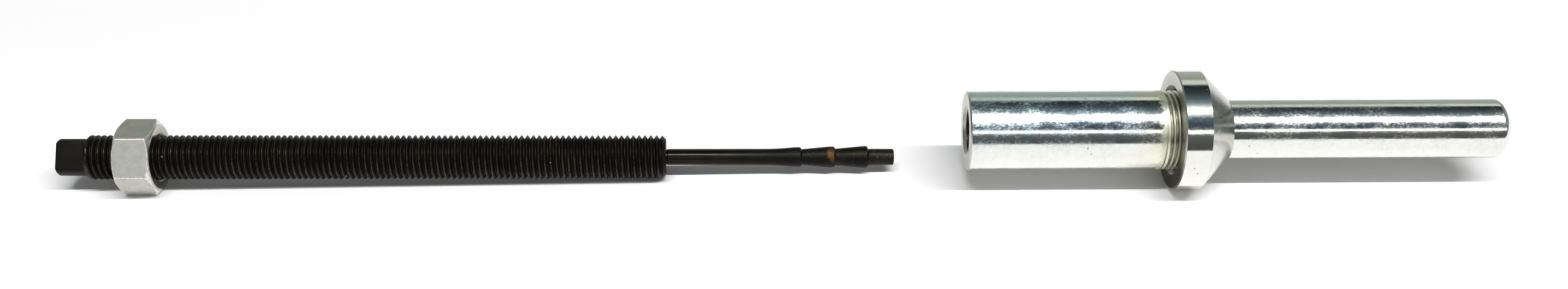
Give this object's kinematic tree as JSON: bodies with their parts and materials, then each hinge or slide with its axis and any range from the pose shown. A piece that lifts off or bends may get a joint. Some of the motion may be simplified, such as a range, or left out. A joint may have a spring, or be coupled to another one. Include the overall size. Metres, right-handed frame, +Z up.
{
  "type": "injector sleeve installer",
  "caption": "Two-group hand tool: a stepped driver barrel with a tapered stop collar, and a threaded spindle with a nut and a three-cone expander rod.",
  "frame": {"origin": "on the bench, under the middle of the laid-out tool's box", "axes": "+X along the driver from its bearing face to the end of its lower barrel, +Y away from the front, +Z up"},
  "size_m": [0.6171, 0.0508, 0.0508],
  "materials": {
    "bright_zinc": "bright zinc plate over turned steel, mottled, yellow-tinted by the collar thread",
    "bright_zinc_collar": "bright zinc plate over turned steel, satin on the taper",
    "black_oxide": "black oxide, oiled, crests rubbed brighter",
    "worn_oxide": "worn brown-black oxide with light rust on the middle cone",
    "satin_zinc": "satin zinc plate, bright worn edges"
  },
  "bodies": {
    "driver": {"barrel": "bright_zinc"},
    "collar": {"stop_collar": "bright_zinc_collar"},
    "turning_nut": {"nut": "satin_zinc"},
    "spindle_set": {"spindle": "black_oxide", "expander_rod": "worn_oxide"}
  },
  "joints": [
    {"name": "collar_travel", "type": "slide", "parent": "driver", "child": "collar", "axis": [1, 0, 0], "range_m": [-0.0047, 0.1255]},
    {"name": "nut_turn", "type": "hinge", "parent": "driver", "child": "turning_nut", "pos_m": [-0.27416, -0.00053, 0.01446], "axis": [0.9994, 0.0269, -0.0222], "range_deg": [-1620, 30600]},
    {"name": "spindle_draw", "type": "slide", "parent": "driver", "child": "spindle_set", "axis": [0.9994, 0.0269, -0.0222], "range_m": [-0.2159, 0.01143]}
  ],
  "couplings": [
    {"joint": "nut_turn", "follows": "spindle_draw", "rad_per_m": -2473.7}
  ]
}
